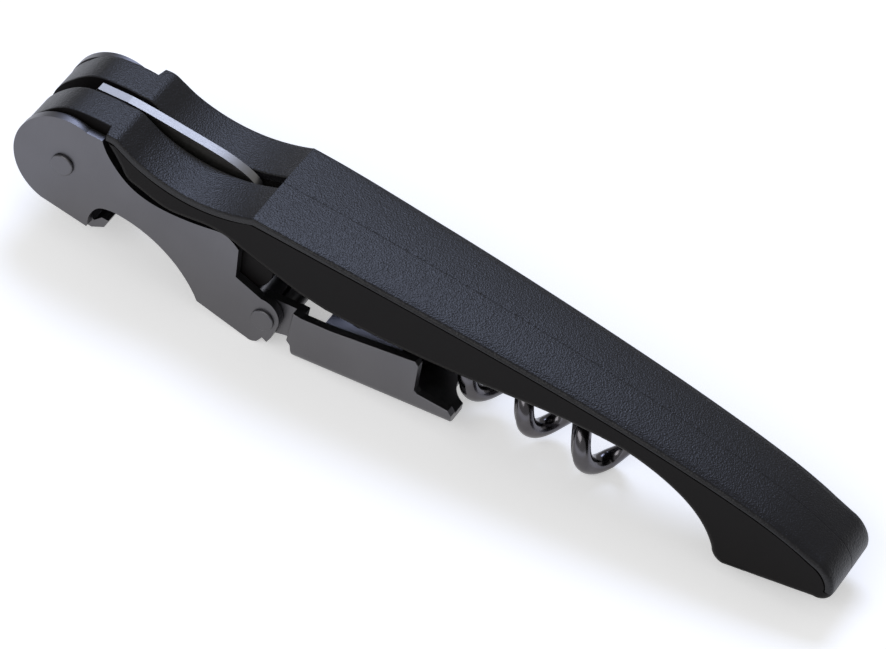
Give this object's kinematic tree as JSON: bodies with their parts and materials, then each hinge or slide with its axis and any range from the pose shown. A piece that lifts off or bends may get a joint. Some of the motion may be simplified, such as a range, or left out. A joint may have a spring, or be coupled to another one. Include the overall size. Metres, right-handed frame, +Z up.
{
  "type": "lever corkscrew",
  "caption": "Folding lever corkscrew with a curved hooked handle, a hinged lever with a bottle foot and cap lifter, a coiled worm and a foil knife.",
  "frame": {"origin": "middle of the folded corkscrew's length and width, on the surface that it lies on", "axes": "+X along the handle from the head rivet to the hooked tail, +Z up through the back of the handle, +Y across it, away from the viewer"},
  "size_m": [0.1163, 0.0166, 0.0204],
  "materials": {
    "black_plastic": "smooth satin black plastic, moulded",
    "textured_plastic": "black plastic with a fine leather-like grain",
    "spring_steel": "plain spring steel",
    "rivet_steel": "dark brushed steel",
    "sleeve_steel": "turned steel",
    "nylon": "black nylon",
    "knife_steel": "fine brushed stainless steel",
    "lever_steel": "smoky dark plated steel with a satin brushing",
    "spacer_steel": "rolled steel, dark plated",
    "hub_steel": "dark plated steel",
    "worm_chrome": "glossy black chrome"
  },
  "bodies": {
    "handle": {"handle_body": "black_plastic", "back_cover": "textured_plastic", "cover_clips": "spring_steel", "head_rivet": "rivet_steel", "cheek_sleeve_near": "sleeve_steel", "cheek_sleeve_far": "sleeve_steel", "lever_washer_near": "nylon", "lever_washer_far": "nylon", "knife_washer_near": "nylon", "knife_washer_far": "nylon", "worm_pin": "rivet_steel", "worm_washer_near": "nylon", "worm_washer_far": "nylon"},
    "lever": {"lever_arm": "lever_steel", "hinge_rivet": "rivet_steel", "hinge_spacer": "spacer_steel"},
    "foot": {"bottle_foot": "lever_steel"},
    "worm": {"worm_hub": "hub_steel", "worm_retainer": "hub_steel", "worm_wire": "worm_chrome"},
    "knife": {"knife_blade": "knife_steel"}
  },
  "joints": [
    {"name": "lever_swing", "type": "hinge", "parent": "handle", "child": "lever", "pos_m": [-0.05115, 0, 0.0122], "axis": [0, 1, 0], "range_deg": [0, 165]},
    {"name": "foot_swing", "type": "hinge", "parent": "lever", "child": "foot", "pos_m": [-0.02075, 0, 0.0042], "axis": [0, 1, 0], "range_deg": [0, 68]},
    {"name": "worm_swing", "type": "hinge", "parent": "handle", "child": "worm", "pos_m": [-0.02465, 0, 0.01015], "axis": [0, 1, 0], "range_deg": [0, 90]},
    {"name": "knife_swing", "type": "hinge", "parent": "handle", "child": "knife", "pos_m": [-0.05115, 0, 0.0122], "axis": [0, -1, 0], "range_deg": [0, 175]}
  ],
  "couplings": [
    {"joint": "worm_swing", "follows": "lever_swing", "ratio": 0.54545}
  ]
}
